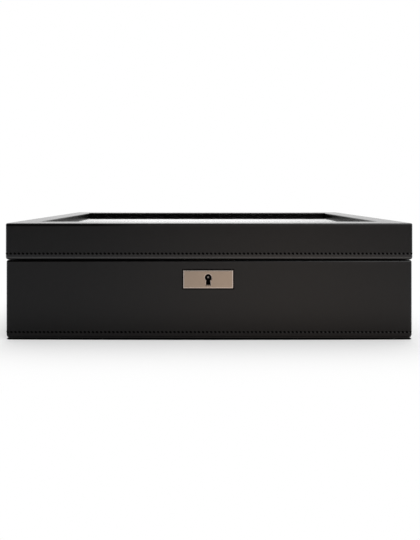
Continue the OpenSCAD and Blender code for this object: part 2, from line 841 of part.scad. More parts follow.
lid_lining(BACK);  // lid_lining_back
lid_lining(LEFT);  // lid_lining_left
rim_lining();
case_leaf(-1);  // case_leaf_left
case_leaf(1);  // case_leaf_right
lid_leaf(-1);  // lid_leaf_left
lid_leaf(1);  // lid_leaf_right
hinge_pin(-1);  // hinge_pin_left
hinge_pin(1);  // hinge_pin_right
case_hinge_screws();
lid_hinge_screws();
lock_case();
lock_cover();
lock_bolt();
key_pin();
detent_spring();
lock_top_plate();
lock_plate_screws();
escutcheon();
strike_plate();
strike_screws();
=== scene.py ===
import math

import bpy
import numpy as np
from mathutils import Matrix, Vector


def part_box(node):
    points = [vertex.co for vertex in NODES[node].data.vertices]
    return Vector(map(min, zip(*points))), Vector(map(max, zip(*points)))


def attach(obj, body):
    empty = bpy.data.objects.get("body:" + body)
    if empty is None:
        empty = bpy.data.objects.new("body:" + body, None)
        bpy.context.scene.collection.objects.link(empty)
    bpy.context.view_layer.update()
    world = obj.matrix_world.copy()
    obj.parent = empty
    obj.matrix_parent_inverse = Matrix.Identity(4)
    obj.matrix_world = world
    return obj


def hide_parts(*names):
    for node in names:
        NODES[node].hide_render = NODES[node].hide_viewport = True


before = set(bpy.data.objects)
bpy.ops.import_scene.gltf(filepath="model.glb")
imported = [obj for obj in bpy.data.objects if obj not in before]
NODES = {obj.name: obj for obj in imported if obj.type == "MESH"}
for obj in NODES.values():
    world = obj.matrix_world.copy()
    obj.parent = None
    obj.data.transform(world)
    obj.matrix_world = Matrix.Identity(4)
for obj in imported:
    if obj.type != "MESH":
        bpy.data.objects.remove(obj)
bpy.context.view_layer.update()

# A lockable watch box: black leather over boards, a glass-topped lid, ten suede cushions inside.
# Metres, +Z up, the front faces -Y. The sizes of the case, the lid and the lock's plate come from
# the frame.

MM = 0.001
RANDOM_SEED = 11

CASE_LOW, CASE_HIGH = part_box("case_leather")
LID_LOW, LID_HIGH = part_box("lid_leather")
PLATE_LOW, PLATE_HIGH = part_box("escutcheon")
PLATE_MIDDLE = (PLATE_LOW + PLATE_HIGH)/2
PLATE_HALF = (PLATE_HIGH - PLATE_LOW)/2
CORNER_RADIUS = 3.6*MM              # of the lid and the case, seen from above
GLASS_COVER = 5.5*MM                # how far the rim covers the glass on each side
TURN_DOWN = 0.3*MM                  # how far outside the window its leather starts to turn down

# Stitching, as in the leather's grooves
STITCH_PITCH = 3.38*MM
CORNER_STITCHES = 2
THREAD_RADIUS = 0.74*MM             # half of a thread's height
THREAD_FLATNESS = 0.60              # a thread's thickness, as a share of its height
THREAD_SHARE = 0.58                 # a thread's length, as a share of the pitch
THREAD_LEAN = 0.30*MM               # how far each end of a thread lies above or below its middle
THREAD_INSET = 0.28*MM              # depth of a thread's middle line below the leather's face
THREAD_DIVE = 0.5*MM                # how much deeper its ends lie
THREAD_DROP = 0.2*MM                # how far the lid's threads lie below their groove's middle
THREAD_TWIST = 0.55*MM              # from one ridge of its plies to the next
THREAD_RINGS = 7
THREAD_AROUND = 6
THREAD_RING_REACH = 0.97            # u of the last ring on each side, where 1 is the thread's end
LENGTH_SPREAD = 0.05                # how much the threads differ, as a standard deviation
LEAN_SPREAD = 0.15
LIFT_SPREAD = 0.03*MM
SEAT_HEIGHT = 0.88*MM               # half the height of the seat pressed under each thread
SEAT_LENGTH = 0.31                  # half its length, as a share of the pitch
SEAT_DEPTH = 0.10*MM
MARGIN_ROLL = 22.0                  # depth of the margin's roll, over its height squared
LID_STITCH_UP = 5.5*MM              # from the lid's bottom edge to the middle of its groove
LID_STITCH_Z = LID_LOW.z + LID_STITCH_UP - THREAD_DROP
CASE_STITCH_Z = 6.2*MM

# Cushions
CUSHION_RINGS = 46                  # rings along the cushion, seams and end panels included
CUSHION_AROUND = 96
END_RINGS = 9                       # rings of each end panel
END_SHARE = 0.955                   # an end panel's size, as a share of the section beside it
END_CROWN = 2.2*MM                  # how far the middle of an end panel stands out
SECTION_POWER = 3.6                 # how square the section is: 2 is an ellipse
WAIST = 0.035                       # how much the body narrows at its seams
WAIST_POWER = 8                     # how close to the seams it narrows
CUSHION_SHRINK = 0.95               # the pillow starts smaller, because pressure swells it
CLOTH_FRAMES = 14
CLOTH_CAP = 2.6*MM                  # how far the cloth may move
DENT_WAVES = 4
DENT_DEPTH = 0.5*MM
DENT_PACE = (60, 120)               # least and most, in radians for each metre
TWIST_SPREAD = 0.005                # of a cushion's sideways lean along its length

# Colours, linear
BLACK_LEATHER = (0.0062, 0.0056, 0.0054)
MOTTLED_LEATHER = (0.0080, 0.0072, 0.0068)
# A painted grey highlight, for the lid's lower edge
HIGHLIGHT_LEATHER = (0.066, 0.064, 0.062)
# Black for painted shade, where little light gets in
UNLIT = (0.0004, 0.0004, 0.0004)
SHADE_BLACK = (0.001, 0.001, 0.001)
DARK_THREAD = (0.0008, 0.0008, 0.0008)
LIGHT_THREAD = (0.0022, 0.0022, 0.0022)
SUEDE = (0.060, 0.060, 0.064)
BRUSHED_SUEDE = (0.105, 0.105, 0.112)
CUSHION_SUEDE = (0.150, 0.150, 0.156)
BRUSHED_CUSHION = (0.235, 0.235, 0.245)
FELT = (0.012, 0.012, 0.012)
FELT_LINT = (0.045, 0.045, 0.047)
FIBRE_BOARD = ((0.42, 0.28, 0.16), (0.26, 0.16, 0.085), (0.50, 0.35, 0.22))
DARK_BOARD = ((0.010, 0.010, 0.010), (0.018, 0.017, 0.016), (0.012, 0.012, 0.012))
SATIN_NICKEL = (0.408, 0.331, 0.264)
# The plate's bevels: a lighter colour, partly a painted highlight, and black painted as shadow
BEVEL_HIGHLIGHT_NICKEL = (0.62, 0.54, 0.48)
BEVEL_SHADOW = (0.02, 0.015, 0.012)
HINGE_NICKEL = (0.56, 0.53, 0.49)
BLACKED_STEEL = (0.010, 0.010, 0.011)
PIN_STEEL = (0.19, 0.18, 0.17)
STEEL = (0.52, 0.51, 0.50)
BRASS = (0.72, 0.50, 0.22)
GLASS = (0.985, 0.995, 0.99)
GLASS_SHADOW = (0.92, 0.95, 0.94)
SUEDE_SHEEN = (0.75, 0.75, 0.8)
PAPER = (0.93, 0.93, 0.93)
BLACK = (0.0, 0.0, 0.0)
WHITE = (1.0, 1.0, 1.0)
# Tints of the painted reflection of the paper
COOL_WHITE = (0.90, 0.94, 1.0)
WARM_WHITE = (1.0, 0.90, 0.84)

# Studio. A brightness of 1 shows white paper as white.
STUDIO_DIM = 0.04
STUDIO_BRIGHT = 1.3
FLOOR_RADIUS = 3.0
FLOOR_DROP = 0.05*MM                # keeps the floor and the felt on it from sharing one plane
FLOOR_CLEAR = 15*MM                 # how far inside the box's sides the floor under it is clear
FLOOR_RINGS = 24
FLOOR_AROUND = 64
LAMP_PLACE = (0.05, 0.15, 1.0)
LAMP_SIZE = 0.9
LAMP_WATTS = 5.0

# Camera
CAMERA_X = -0.0049
CAMERA_AHEAD = 0.332                # from the lid's front
CAMERA_Z = 0.1214
CAMERA_LENS = 26.68                 # in millimetres, as is the sensor
CAMERA_SENSOR = 36
CAMERA_SHIFT = (0.0125, -0.1418)    # in widths of the sensor


# ---- Meshes from arrays ----

def mesh_piece(name, points, faces):
    """A smooth mesh object at the origin. points is an (n, 3) array, and faces a list of arrays
    with the corners of one face in each row."""
    mesh = bpy.data.meshes.new(name)
    mesh.from_pydata(points.tolist(), [], [face for group in faces for face in group.tolist()])
    mesh.update()
    mesh.polygons.foreach_set("use_smooth", np.full(len(mesh.polygons), True))
    piece = bpy.data.objects.new(name, mesh)
    bpy.context.scene.collection.objects.link(piece)
    return piece


def ring_faces(rings, around):
    """Quads between neighbouring rings of points, each of which closes on itself."""
    ring = np.arange(rings - 1)[:, None]
    place = np.arange(around)[None, :]
    beside = (place + 1) % around
    corners = (ring*around + place, ring*around + beside,
               (ring + 1)*around + beside, (ring + 1)*around + place)
    return np.stack(np.broadcast_arrays(*corners), -1).reshape(-1, 4)


def capped_tube_faces(rings, around):
    """Faces of a closed tube: a fan round point 0, quads between the rings, and a fan round the
    last point. The rings' points lie between those two points."""
    place = np.arange(around)
    after = (place + 1) % around
    last = 1 + (rings - 1)*around
    end = 1 + rings*around
    near = np.stack([np.zeros(around, int), 1 + after, 1 + place], -1)
    far = np.stack([last + place, last + after, np.full(around, end)], -1)
    return [near, 1 + ring_faces(rings, around), far]


# ---- Materials ----

class Wire:
    """One output socket of a node. Arithmetic on it adds the Math node that works it out."""

    def __init__(self, finish, socket):
        self.finish = finish
        self.socket = socket

    def __add__(self, other):
        return self.finish.maths("ADD", self, other)

    def __sub__(self, other):
        return self.finish.maths("SUBTRACT", self, other)

    def __rsub__(self, other):
        return self.finish.maths("SUBTRACT", other, self)

    def __mul__(self, other):
        return self.finish.maths("MULTIPLY", self, other)

    def __truediv__(self, other):
        return self.finish.maths("DIVIDE", self, other)

    __radd__ = __add__
    __rmul__ = __mul__

    def size(self):
        return self.finish.maths("ABSOLUTE", self)

    def at_least(self, other):
        return self.finish.maths("MAXIMUM", self, other)

    def below(self, edge, soft):
        """1 where this is under edge, fading to 0 over soft, half of it on each side."""
        return self.finish.node("ShaderNodeMapRange", {"interpolation_type": "SMOOTHSTEP"},
                                {"Value": self, "From Min": edge - soft/2,
                                 "From Max": edge + soft/2, "To Min": 1.0, "To Max": 0.0})

    def above(self, edge, soft):
        return 1 - self.below(edge, soft)

    def near(self, centre, reach, soft):
        """1 within reach of centre, fading to 0 over soft."""
        return (self - centre).size().below(reach, soft)

    def other(self, name):
        """Another output of the same node."""
        return Wire(self.finish, self.socket.node.outputs[name])


class Shading:
    """A node tree that is filled node by node."""

    def __init__(self, tree):
        self.tree = tree

    def node(self, kind, settings=None, values=None):
        """Adds a node of that type, sets it up, gives its sockets values or links, and returns its
        first output."""
        node = self.tree.nodes.new(kind)
        for setting, value in (settings or {}).items():
            setattr(node, setting, value)
        for socket, value in (values or {}).items():
            self.give(node.inputs[socket], value)
        return Wire(self, next(output for output in node.outputs if output.enabled))

    def give(self, socket, value):
        """Links a wire to a socket, or sets the socket's value, with alpha 1 on a colour."""
        if isinstance(value, Wire):
            self.tree.links.new(value.socket, socket)
        elif socket.type == "RGBA" and len(value) == 3:
            socket.default_value = (*value, 1.0)
        else:
            socket.default_value = value

    def maths(self, operation, *values):
        return self.node("ShaderNodeMath", {"operation": operation}, dict(enumerate(values)))

    def where(self):
        """Object coordinates."""
        return self.node("ShaderNodeTexCoord").other("Object")

    def split(self, vector):
        """A vector's parts along X, Y and Z."""
        x = self.node("ShaderNodeSeparateXYZ", None, {"Vector": vector})
        return x, x.other("Y"), x.other("Z")

    def axes(self):
        return self.split(self.where())

    def facing(self):
        """How far the surface faces +X, +Y and +Z, from -1 to 1."""
        return self.split(self.node("ShaderNodeTexCoord").other("Normal"))

    def stretched(self, scale):
        """Object coordinates times a scale along each axis, which squeezes a texture."""
        return self.node("ShaderNodeVectorMath", {"operation": "MULTIPLY"},
                         {0: self.where(), 1: scale})

    def noise(self, period, detail=3.0, roughness=0.5, at=None):
        """Noise from 0 to 1 whose blotches are about period across, in metres."""
        return self.node("ShaderNodeTexNoise", None,
                         {"Vector": at or self.where(), "Scale": 1/period, "Detail": detail,
                          "Roughness": roughness})

    def cells(self, period, feature, at=None, **values):
        """Closed cells about period across. values sets more of the node's sockets."""
        return self.node("ShaderNodeTexVoronoi", {"feature": feature},
                         {"Vector": at or self.where(), "Scale": 1/period, **values})

    def mix(self, factor, first, second):
        """A mix of two colours."""
        node = self.tree.nodes.new("ShaderNodeMix")
        node.data_type = "RGBA"
        colours = [socket for socket in node.inputs if socket.type == "RGBA"]
        self.give(node.inputs["Factor"], factor)
        self.give(colours[0], first)
        self.give(colours[1], second)
        return Wire(self, next(output for output in node.outputs if output.type == "RGBA"))

    def bump(self, height, strength=1.0, after=None):
        """A normal from a height in metres. after is the normal of a coarser bump."""
        values = {"Height": height, "Strength": strength, "Distance": 1.0}
        if after is not None:
            values["Normal"] = after
        return self.node("ShaderNodeBump", None, values)

    def glow(self, colour, strength):
        return self.node("ShaderNodeEmission", None, {"Color": colour, "Strength": strength})

    def ray(self, kind):
        """1 for light rays of that kind, such as "Is Camera Ray"."""
        return self.node("ShaderNodeLightPath").other(kind)

    def seen(self):
        """1 for what the camera sees, by itself or through glass."""
        return self.ray("Is Camera Ray").at_least(self.ray("Is Transmission Ray"))

    def blend(self, factor, first, second):
        """A mix of two shaders."""
        return self.node("ShaderNodeMixShader", None, {0: factor, 1: first, 2: second})

    def show(self, output, wire):
        """Makes a wire the surface that the tree's output shows."""
        self.tree.links.new(wire.socket, self.tree.nodes[output].inputs["Surface"])


class Finish(Shading):
    """A material. The constants set the Principled shader's own sockets."""

    def __init__(self, name, constants):
        self.material = bpy.data.materials.new(name)
        self.material.use_nodes = True
        super().__init__(self.material.node_tree)
        self.shader = self.tree.nodes["Principled BSDF"]
        for socket, value in constants.items():
            self.shader.inputs[socket].default_value = value

    def finish(self, **wires):
        """Gives the shader's varying sockets, with _ for a space, and returns the material."""
        for socket, value in wires.items():
            self.give(self.shader.inputs[socket.replace("_", " ")], value)
        return self.material

    def surface(self):
        """The Principled shader's output."""
        return Wire(self, self.shader.outputs[0])


def straight_pitch(side):
    """The stitches' pitch along a side between its rounded corners, where a whole number fits."""
    straight = side - 2*CORNER_RADIUS
    return straight/round(straight/STITCH_PITCH)


def stitch_seats(f, x, y, up, on_front, size):
    """1 in the seat pressed under each stitch, an ellipse that leans as its thread does. up is the
    height above the stitches, and size the size of the piece."""
    turns = on_front*x*(1/straight_pitch(size.x)) + (1 - on_front)*y*(1/straight_pitch(size.y))
    beside = f.maths("FRACT", turns) - 0.5
    spread = beside/SEAT_LENGTH
    slant = (up + beside*(2*THREAD_LEAN))/SEAT_HEIGHT
    return (spread*spread + slant*slant).below(1.0, soft=0.5)


def leather(name, low, high, stitch_z, shut, reach, slope=0.0, polish_and_painted_light=0.0,
            window=Vector((0.0, 0.0))):
    """Smooth black leather on a block with the corners low and high: fine grain of closed cells,
    soft waves, a margin below stitch_z that rolls in by its distance squared, and worn edges that
    shine more.

    Shade is painted black where little light gets in: in the stitches' seats, round the lock's
    plate, and along the edge at the height shut, where the lid and the case meet. That painted
    shade reaches as far as reach, less slope for each metre to the right, and is half as dark on
    flat faces. The leather that turns down within window, half the window's size, is painted black
    as shade too.

    polish burnishes the margin, paints a grey highlight line near the lower edge of the front and
    back, and paints shade on a line near their upper edge at the left."""
    f = Finish(name, {"Specular IOR Level": 0.26, "Coat Roughness": 0.25, "Coat IOR": 1.4})
    x, y, z = f.axes()
    _, face_y, face_z = f.facing()
    on_front = face_y.size().above(0.7, soft=0.2)
    on_top = face_z.above(0.8, soft=0.3)
    on_side = 1 - face_z.size().above(0.9, soft=0.15)*0.5

    up = z - stitch_z
    margin = (0 - up).at_least(0.0)
    roll = margin*margin*(-MARGIN_ROLL)
    burnish = up.below(-1.4*MM, soft=3.6*MM)*polish_and_painted_light
    between = z.near(stitch_z, reach=0.8*MM, soft=0.5*MM)
    upper_edge = z.above(high.z - 1.6*MM, soft=2.2*MM)
    lower_edge = z.below(low.z + 1.0*MM, soft=1.6*MM)
    wear = f.noise(period=3*MM)*(upper_edge + lower_edge)

    # Masks of painted shade: the stitches' seats, the edge where the lid and the case meet, and a
    # band round the lock's plate. The seat also presses in the bump.
    seat = stitch_seats(f, x, y, up, on_front, high - low)
    seam = z.near(shut, reach - x*slope, soft=0.5*MM)*on_side
    beyond_x = (x - PLATE_MIDDLE.x).size() - PLATE_HALF.x
    beyond_z = (z - PLATE_MIDDLE.z).size() - PLATE_HALF.z
    shade_round_plate = (beyond_x.at_least(beyond_z).below(0.85*MM, soft=0.6*MM)
                   * face_y.below(-0.5, soft=0.2))
    # A painted grey highlight line near the lower edge of the front and back.
    wear_and_painted_highlight = z.near(low.z + 1.9*MM, reach=0.5*MM, soft=0.8*MM)*on_front*polish_and_painted_light
    # Painted shade on a line just below the upper edge, on the left.
    on_left = x.below(-75*MM, soft=50*MM)
    shade = z.near(high.z - 1.4*MM, reach=0.9*MM, soft=0.9*MM)*on_front*on_left*polish_and_painted_light
    # All the painted shade: it paints the colour black, makes the leather rough and turns it mostly
    # into a black diffuse shader.
    painted_shade = seat.at_least(seam).at_least(shade_round_plate*0.9).at_least(shade*1.5)
    # The leather turning down inside the window is painted black as shade.
    within = x.size().below(window.x, soft=0.4*MM)*y.size().below(window.y, soft=0.4*MM)
    inside = within*z.below(high.z - 0.8*MM, soft=0.4*MM)

    grain = f.cells(0.55*MM, "SMOOTH_F1", Smoothness=0.6)
    creases = f.cells(0.9*MM, "DISTANCE_TO_EDGE", at=f.stretched((1.0, 1.0, 1.25)))
    waves = f.noise(period=26*MM, detail=2.0)
    pores = f.noise(period=0.35*MM, detail=2.0)
    coarse = f.bump(waves*(0.10*MM) + roll - seat*SEAT_DEPTH)
    fine = f.bump(grain*(0.016*MM) - creases.below(0.12, soft=0.2)*(0.008*MM)
                  + pores*(0.005*MM), strength=0.7, after=coarse)

    mottle = f.noise(period=7*MM, detail=4.0)
    colour = f.mix(mottle, BLACK_LEATHER, MOTTLED_LEATHER)
    colour = f.mix(wear_and_painted_highlight, colour, HIGHLIGHT_LEATHER)
    colour = f.mix(painted_shade.at_least(inside), colour, UNLIT)
    coat = (0.05 + wear*0.6 + on_top*0.5 + burnish + between*0.25)*(1 - painted_shade)
    f.finish(Base_Color=colour, Roughness=0.30 + mottle*0.08 - wear*0.05 + painted_shade*0.6,
             Coat_Weight=coat, Normal=fine)
    # A black diffuse shader for the painted shade
    shade_bsdf = f.node("ShaderNodeBsdfDiffuse", None, {"Color": SHADE_BLACK})
    f.show("Material Output", f.blend(painted_shade*0.95, f.surface(), shade_bsdf))
    return f.material


def thread():
    """Bonded black thread: a twist of plies along its length, which shows as slanted ridges."""
    f = Finish("thread", {"Specular IOR Level": 0.02})
    x, y, z = f.axes()
    twist = f.maths("SINE", (x + y + z*0.7)*(2*math.pi/THREAD_TWIST))
    shade = f.mix(f.noise(period=6*MM), DARK_THREAD, LIGHT_THREAD)
    return f.finish(Base_Color=shade, Roughness=0.50 + f.noise(period=1*MM)*0.15,
                    Normal=f.bump(twist*(0.03*MM)))


def suede(name, colour, light, sheen):
    """Suede: a short nap that lies in soft patches, lighter where it is brushed up, over a fine
    fuzz."""
    f = Finish(name, {"Specular IOR Level": 0.15, "Sheen Weight": sheen, "Sheen Roughness": 0.45,
                      "Sheen Tint": (*SUEDE_SHEEN, 1.0)})
    patches = f.noise(period=16*MM, detail=5.0, roughness=0.62)
    brushed = f.noise(period=5*MM, roughness=0.6, at=f.stretched((1.0, 0.45, 1.0)))
    fuzz = f.noise(period=0.45*MM, roughness=0.7)
    lift = patches.above(0.5, soft=0.28)*0.65 + brushed*0.35
    shade = f.mix(lift, colour, light)
    shade = f.mix(fuzz*0.5, shade, tuple(0.55*channel for channel in colour))
    height = fuzz*(0.10*MM) + brushed*(0.12*MM)
    return f.finish(Base_Color=shade, Roughness=0.86 + fuzz*0.12,
                    Normal=f.bump(height, strength=0.7))


def felt():
    """Pressed felt: short tangled fibres, with lint of a lighter grey."""
    f = Finish("felt", {"Specular IOR Level": 0.1, "Sheen Weight": 0.25, "Sheen Roughness": 0.6})
    fibres = f.noise(period=0.5*MM, detail=5.0, roughness=0.75, at=f.stretched((1.0, 0.35, 1.0)))
    tangle = f.noise(period=2.5*MM, detail=4.0)
    shade = f.mix(fibres.above(0.62, soft=0.16), FELT, FELT_LINT)
    return f.finish(Base_Color=shade, Roughness=0.9 + fibres*0.1,
                    Normal=f.bump(fibres*(0.15*MM) + tangle*(0.2*MM), strength=0.8))


def fibre_board(name, ground, chip, cloud):
    """Pressed wood fibre: fine chips on the ground colour, with soft clouds."""
    f = Finish(name, {"Specular IOR Level": 0.3})
    chips = f.noise(period=1.2*MM, detail=4.0, roughness=0.7, at=f.stretched((0.5, 1.0, 1.0)))
    clouds = f.noise(period=14*MM)
    shade = f.mix(chips, ground, chip)
    shade = f.mix(clouds*0.4, shade, cloud)
    return f.finish(Base_Color=shade, Roughness=0.75 + chips*0.15, Normal=f.bump(chips*(0.06*MM)))


def plate_bevels(f, face):
    """The cut bevels of the lock's plate, lighter than its face, partly as bright cut metal and
    partly as a painted highlight. The upper bevels have painted shadow, and round the keyhole the
    painted highlight is weaker and the upper bevels' painted shadow stronger. Returns the colour,
    with face between the bevels, and a normal that leans to the front, most of all on the lower and
    left bevels."""
    x, _, z = f.axes()
    face_x, face_y, face_z = f.facing()
    forward = face_y.size()
    cut = forward.below(0.96, soft=0.04)*forward.above(0.2, soft=0.1)
    hole = (x.near(PLATE_MIDDLE.x, reach=5*MM, soft=0.5*MM)
            * z.above(PLATE_LOW.z + 1.5*MM, soft=0.5*MM)
            * z.below(PLATE_HIGH.z - 1.5*MM, soft=0.5*MM))
    upper = face_z.above(0.4, soft=0.2)
    lower = face_z.below(-0.3, soft=0.2)
    left = face_x.below(-0.3, soft=0.2)
    shade = f.mix(cut*(1 - hole*0.4), face, BEVEL_HIGHLIGHT_NICKEL)
    shade = f.mix(cut*upper*(0.35 + hole*0.45), shade, BEVEL_SHADOW)
    lean = cut*(1 - upper + lower*2.2 + left*0.9)*(hole*0.4 - 1.0)
    forwards = f.node("ShaderNodeCombineXYZ", None, {"Y": lean})
    tilted = f.node("ShaderNodeVectorMath", {"operation": "ADD"},
                    {0: f.node("ShaderNodeNewGeometry").other("Normal"), 1: forwards})
    return shade, f.node("ShaderNodeVectorMath", {"operation": "NORMALIZE"}, {0: tilted})


def brushed_metal(name, colour, roughness, across, bevelled=False):
    """Brushed metal: long fine scratches, which a noise squeezed across them gives, and faint
    clouds. across gives how much closer the noise lies along each axis."""
    f = Finish(name, {"Specular IOR Level": 0.5})
    scratches = f.noise(period=3.2*MM, detail=5.0, roughness=0.65, at=f.stretched(across))
    clouds = f.noise(period=9*MM)
    wear_and_painted_highlight = f.noise(period=1.1*MM)
    dark = tuple(0.74*channel for channel in colour)
    shade = f.mix(scratches*0.55 + clouds*0.25, colour, dark)
    normal = None
    if bevelled:
        shade, normal = plate_bevels(f, shade)
    return f.finish(Base_Color=shade, Metallic=1.0,
                    Roughness=roughness + scratches*0.09 + wear_and_painted_highlight*0.05,
                    Normal=f.bump(scratches*(0.010*MM), strength=0.7, after=normal))


def clear_glass():
    """Clear polished glass with a trace of dust. Lamps shine through it without a shadow."""
    f = Finish("clear_glass", {"Transmission Weight": 1.0, "IOR": 1.5,
                               "Base Color": (*GLASS, 1.0)})
    dust = f.noise(period=0.8*MM, detail=4.0, roughness=0.7).above(0.66, soft=0.1)
    smears = f.noise(period=30*MM)
    f.finish(Roughness=dust*0.08 + smears*0.012)
    clear = f.node("ShaderNodeBsdfTransparent", None, {"Color": GLASS_SHADOW})
    f.show("Material Output", f.blend(f.ray("Is Shadow Ray"), f.surface(), clear))
    return f.material


def give_materials():
    """Puts a material on each node of the frame: its own, or what that kind of piece is made of, or
    else the lining's suede."""
    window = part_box("glass")[1] - Vector((1.0, 1.0, 0.0))*(GLASS_COVER - TURN_DOWN)
    lining = suede("lining_suede", SUEDE, BRUSHED_SUEDE, sheen=0.35)
    board = fibre_board("fibre_board", *FIBRE_BOARD)
    # A near-black board, for the glass's retainer
    dark_board = fibre_board("dark_board", *DARK_BOARD)
    screw_steel = brushed_metal("zinc_steel", STEEL, 0.30, (1.0, 6.0, 6.0))
    black_steel = brushed_metal("blacked_steel", BLACKED_STEEL, 0.50, (1.0, 6.0, 6.0))
    hinge_steel = brushed_metal("hinge_nickel", HINGE_NICKEL, 0.26, (1.0, 9.0, 9.0))
    plate_nickel = brushed_metal("satin_nickel", SATIN_NICKEL, 0.30, (1.0, 9.0, 11.0))
    own = {
        "case_leather": leather("case_leather", CASE_LOW, CASE_HIGH, CASE_STITCH_Z,
                                shut=CASE_HIGH.z, reach=0.5*MM, slope=0.002),
        "lid_leather": leather("lid_leather", LID_LOW, LID_HIGH, LID_STITCH_Z, shut=LID_LOW.z,
                               reach=0.9*MM, polish_and_painted_light=0.5, window=window),
        "base_felt": felt(),
        "glass": clear_glass(),
        "glass_retainer": dark_board,
        "lock_bolt": brushed_metal("brass", BRASS, 0.28, (1.0, 8.0, 8.0)),
        "key_pin": brushed_metal("pin_steel", PIN_STEEL, 0.20, (4.0, 1.0, 4.0)),
        "escutcheon": brushed_metal("escutcheon_nickel", SATIN_NICKEL, 0.30, (1.0, 9.0, 11.0),
                                    bevelled=True),
        "lock_top_plate": plate_nickel,
        "strike_plate": plate_nickel,
        "lock_case": black_steel,
        "lock_cover": black_steel,
        "detent_spring": black_steel,
    }
    kinds = {"screws": screw_steel, "leaf": hinge_steel, "hinge_pin": hinge_steel, "board": board,
             "rail": board}
    for name, node in NODES.items():
        shared = next((kinds[word] for word in kinds if word in name), lining)
        node.data.materials.clear()
        node.data.materials.append(own.get(name, shared))


# ---- Stitches ----

def round_rectangle(along, width, depth, radius):
    """Points and outward normals at the distances along a rectangle with rounded corners, which
    starts at the left of the front and goes round by the right. Its eight stretches are a straight
    side and a quarter circle by turns, and each distance is looked up among their ends."""
    quarter = math.pi*radius/2
    ends = np.cumsum([length for side in (width, depth, width, depth)
                      for length in (side - 2*radius, quarter)])
    along = along % ends[-1]
    stretch = np.searchsorted(ends, along, side="right")
    start = np.concatenate([[0.0], ends])[stretch]
    side, turning = stretch//2, stretch % 2
    base = side*math.pi/2
    heading = base + turning*(along - start)/radius
    out = np.stack([np.sin(heading), -np.cos(heading)], -1)
    ahead = np.stack([np.cos(base), np.sin(base)], -1)
    away = np.stack([np.sin(base), -np.cos(base)], -1)
    half = np.array([width/2, depth/2, width/2, depth/2])[side] - radius
    reach = np.array([depth/2, width/2, depth/2, width/2])[side] - radius
    run = np.where(turning == 1, 2*half, along - start) - half
    centre = ahead*run[:, None] + away*reach[:, None]
    return centre + out*radius, out


def stitch_places(width, depth, radius):
    """Distances of the stitches round the rectangle, as many to each straight side as come nearest
    to the pitch, and CORNER_STITCHES to each corner."""
    places = []
    start = 0.0
    quarter = math.pi*radius/2
    for side in (width, depth, width, depth):
        straight = side - 2*radius
        for length, count in ((straight, round(straight/STITCH_PITCH)),
                              (quarter, CORNER_STITCHES)):
            places.append(start + (np.arange(count) + 0.5)*length/count)
            start += length
    return np.concatenate(places)


def stitches(name, width, depth, height, body, material):
    """One row of thread round a block. Each stitch is a thread of rings along u from -1 to 1: its
    middle lies in the groove, its ends dive through the leather by u^6, its radius shrinks to them
    by sqrt(1 - u^6), and it leans a little, down to the right."""
    rng = np.random.default_rng(RANDOM_SEED)
    places = stitch_places(width, depth, CORNER_RADIUS)
    count = len(places)
    u = np.linspace(-THREAD_RING_REACH, THREAD_RING_REACH, THREAD_RINGS)
    along = np.concatenate([[-1.0], u, [1.0]])
    angle = np.arange(THREAD_AROUND)*2*math.pi/THREAD_AROUND
    half = STITCH_PITCH*THREAD_SHARE/2*(1 + LENGTH_SPREAD*rng.standard_normal(count))
    lean = THREAD_LEAN*(1 + LEAN_SPREAD*rng.standard_normal(count))
    lift = LIFT_SPREAD*rng.standard_normal(count)
    distance = places[:, None] + half[:, None]*along
    spot, out = round_rectangle(distance.ravel(), width, depth, CORNER_RADIUS)
    spot = spot.reshape(count, -1, 2)
    out = out.reshape(count, -1, 2)
    inset = THREAD_INSET + THREAD_DIVE*along**6
    spine = spot - out*inset[None, :, None]
    level = height + lift[:, None] - lean[:, None]*along[None, :]
    thick = THREAD_RADIUS*np.sqrt(1 - u**6)
    outwards = THREAD_FLATNESS*np.cos(angle)[:, None]*thick[:, None, None]
    flat = spine[:, 1:-1, None, :] + outwards*out[:, 1:-1, None, :]
    rise = level[:, 1:-1, None] + np.sin(angle)*thick[:, None]
    tube = np.concatenate([flat, rise[..., None]], -1).reshape(count, -1, 3)
    ends = np.concatenate([spine[:, [0, -1]], level[:, [0, -1], None]], -1)
    points = np.concatenate([ends[:, :1], tube, ends[:, 1:]], 1)
    tube_faces = capped_tube_faces(THREAD_RINGS, THREAD_AROUND)
    faces = [group + first for first in np.arange(count)*points.shape[1] for group in tube_faces]
    piece = mesh_piece(name, points.reshape(-1, 3), faces)
    piece.data.materials.append(material)
    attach(piece, body)


# ---- Cushions ----

def cushion_outline(angle, half_depth, half_height):
    """Points of the pillow's section: a superellipse |y|^n + |z|^n = 1 with n = SECTION_POWER."""
    c, s = np.cos(angle), np.sin(angle)
    size = (np.abs(c)**SECTION_POWER + np.abs(s)**SECTION_POWER)**(-1/SECTION_POWER)
    return half_depth*size*c, half_height*size*s


def pillow_points(half_width, half_depth, half_height):
    """A pillow along X about the origin, as rings. The left end panel grows from its middle to the
    seam as a sine does over a quarter turn, and stands out by 1 less the square of that. The body
    crosses to the right seam, and narrows by the distance from its middle to the WAIST_POWER. The
    right end panel is the left one's mirror image. Returns the first point, the rings' points and
    the last point."""
    angle = np.arange(CUSHION_AROUND)*2*math.pi/CUSHION_AROUND
    y, z = cushion_outline(angle, half_depth, half_height)
    grow = np.sin(np.linspace(0.0, 1.0, END_RINGS + 1)[1:]*math.pi/2)
    body = np.linspace(-1.0, 1.0, CUSHION_RINGS - 2*END_RINGS + 2)[1:-1]
    end = half_width + END_CROWN*(1 - grow**2)
    x = np.concatenate([-end, body*half_width, end[::-1]])
    scale = np.concatenate([grow*END_SHARE, 1 - WAIST*np.abs(body)**WAIST_POWER,
                            (grow*END_SHARE)[::-1]])
    rings = np.stack([np.broadcast_to(x[:, None], (CUSHION_RINGS, CUSHION_AROUND)),
                      scale[:, None]*y, scale[:, None]*z], -1)
    tip = half_width + END_CROWN
    return np.array([[-tip, 0.0, 0.0]]), rings.reshape(-1, 3), np.array([[tip, 0.0, 0.0]])


